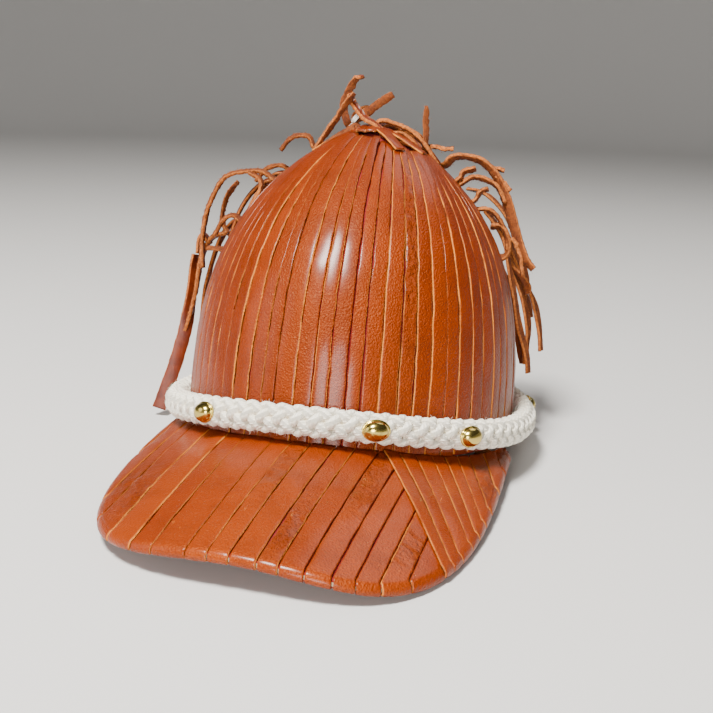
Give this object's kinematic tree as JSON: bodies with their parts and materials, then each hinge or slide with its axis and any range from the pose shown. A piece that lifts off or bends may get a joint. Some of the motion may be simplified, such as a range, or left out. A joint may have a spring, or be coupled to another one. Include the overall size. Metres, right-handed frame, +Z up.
{
  "type": "peaked cap with leather strips",
  "caption": "Peaked cap covered in glossy leather strips, with a braided rope band, oval brass studs, a leather fringe, and a snap strap over the rear opening.",
  "frame": {"origin": "middle of the footprint, on the surface the cap rests on", "axes": "+Z up, -Y to the nose of the brim, +X to the wearer's left"},
  "size_m": [0.2198, 0.3312, 0.2017],
  "materials": {
    "crown_leather": "glossy pebbled cognac leather",
    "brim_leather": "glossy cognac leather, scuffed",
    "fringe_leather": "cognac leather with a rough suede back",
    "cotton_rope": "braided natural cotton",
    "white_thread": "waxed cotton thread",
    "stud_brass": "polished and slightly tarnished",
    "panel_cloth": "red foam-backed cloth",
    "mesh_cloth": "red open mesh",
    "brim_cloth": "red twill",
    "binding_tape": "red woven tape",
    "sweatband_cloth": "off-white cotton twill",
    "brim_stiffener": "pressed board",
    "strap_plastic": "moulded red plastic"
  },
  "bodies": {
    "cap": {"front_panel": "panel_cloth", "rear_panel_left": "mesh_cloth", "rear_panel_right": "mesh_cloth", "sweatband": "sweatband_cloth", "opening_binding": "binding_tape", "crown_strips_right": "crown_leather", "crown_strips_centre": "crown_leather", "crown_strips_left": "crown_leather", "crown_button": "crown_leather", "brim_top_cloth": "brim_cloth", "brim_board": "brim_stiffener", "brim_under_cloth": "brim_cloth", "brim_strips_right": "brim_leather", "brim_strips_left": "brim_leather", "rope_band": "cotton_rope", "rope_whipping_left": "white_thread", "rope_whipping_right": "white_thread", "studs": "stud_brass", "strap_tab_left": "strap_plastic", "strap_tab_right": "strap_plastic", "fringe_top": "fringe_leather", "fringe_left": "fringe_leather", "fringe_right": "fringe_leather", "fringe_back_left": "fringe_leather", "fringe_back_centre": "fringe_leather", "fringe_back_right": "fringe_leather", "long_strip_root": "fringe_leather", "thread_tie": "white_thread"},
    "strap_outer": {"strap_outer": "strap_plastic"},
    "strap_inner": {"strap_inner": "strap_plastic", "strap_pegs": "strap_plastic"},
    "long_strip": {"long_strip": "fringe_leather"}
  },
  "joints": [
    {"name": "strap_outer_swing", "type": "hinge", "parent": "cap", "child": "strap_outer", "pos_m": [0.04273, 0.13046, 0.01412], "axis": [0, -0.1201, -0.9928], "range_deg": [0, 55]},
    {"name": "strap_inner_swing", "type": "hinge", "parent": "cap", "child": "strap_inner", "pos_m": [-0.02998, 0.12894, 0.01431], "axis": [0, -0.1201, -0.9928], "range_deg": [0, 30]},
    {"name": "long_strip_swing", "type": "hinge", "parent": "cap", "child": "long_strip", "pos_m": [-0.10144, 0.07982, 0.09429], "axis": [0, 0.9928, -0.1201], "range_deg": [0, 40]}
  ]
}
